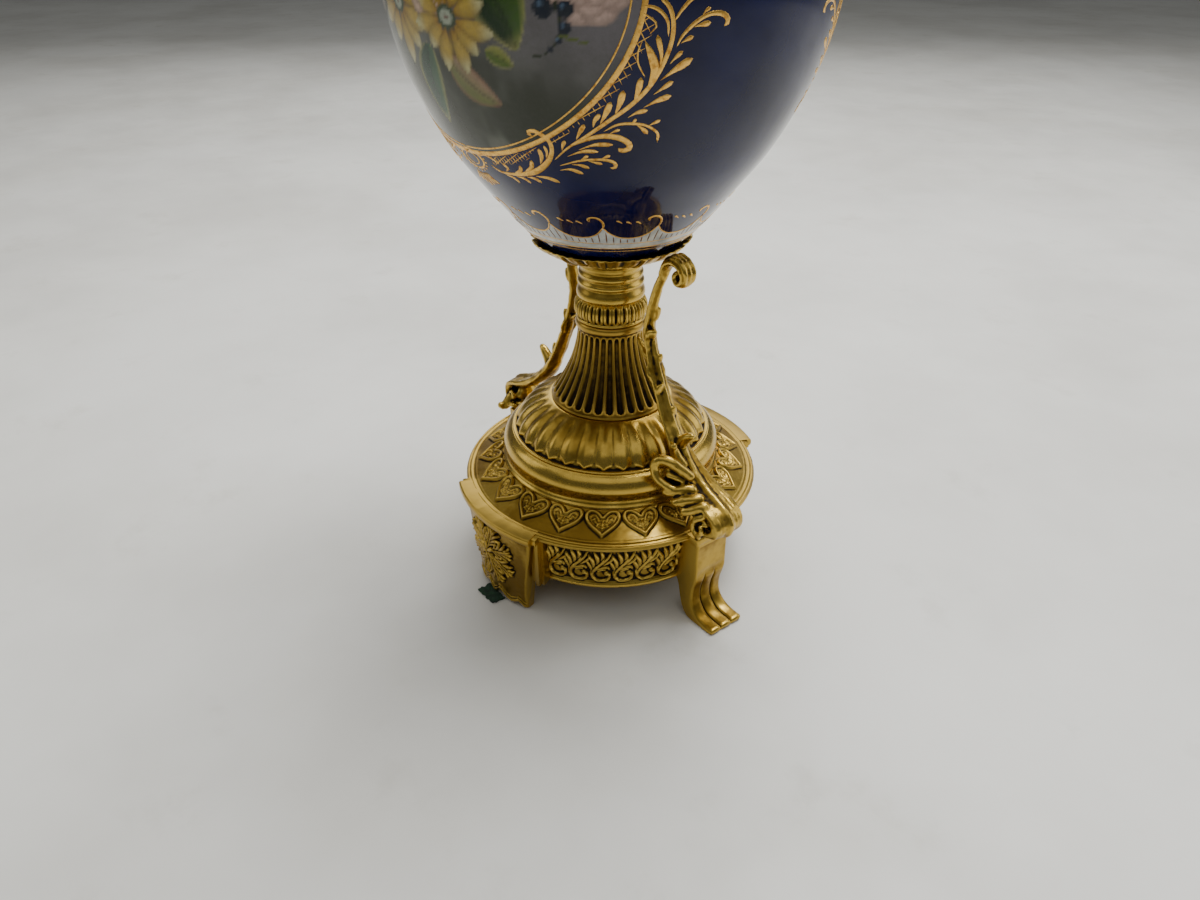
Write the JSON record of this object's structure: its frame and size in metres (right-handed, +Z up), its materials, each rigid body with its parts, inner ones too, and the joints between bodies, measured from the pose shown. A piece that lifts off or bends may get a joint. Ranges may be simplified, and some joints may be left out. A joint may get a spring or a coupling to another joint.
{
  "type": "mantel urn",
  "caption": "Lidded cobalt-blue porcelain urn on a fluted gilt-brass stem and round footed plinth, with leafy side brackets.",
  "frame": {"origin": "on the floor under the middle of the plinth", "axes": "+Z up along the urn's axis, -Y to the painted front, brackets and scroll feet along X"},
  "size_m": [0.2572, 0.2524, 0.664],
  "materials": {
    "gilt_plinth": "aged gilt brass, cast relief with dark patina in the recesses",
    "gilt_turned": "aged gilt brass, turned and polished",
    "gilt_carved": "aged gilt brass, cast flutes and leaves with dark recesses",
    "cobalt_glaze": "deep cobalt blue glaze over porcelain with gilt and enamel painting",
    "felt": "green wool felt, frayed"
  },
  "bodies": {
    "root": {"base_plinth": "gilt_plinth", "base_torus": "gilt_turned", "gadrooned_dome": "gilt_carved", "fluted_stem": "gilt_carved", "knop": "gilt_carved", "turned_collar": "gilt_turned", "leaf_cup": "gilt_carved", "bracket_right": "gilt_carved", "bracket_left": "gilt_carved", "urn_body": "cobalt_glaze", "mouth_collar": "gilt_turned", "lid": "cobalt_glaze", "lid_finial": "gilt_turned", "felt_scrap": "felt"}
  },
  "joints": []
}
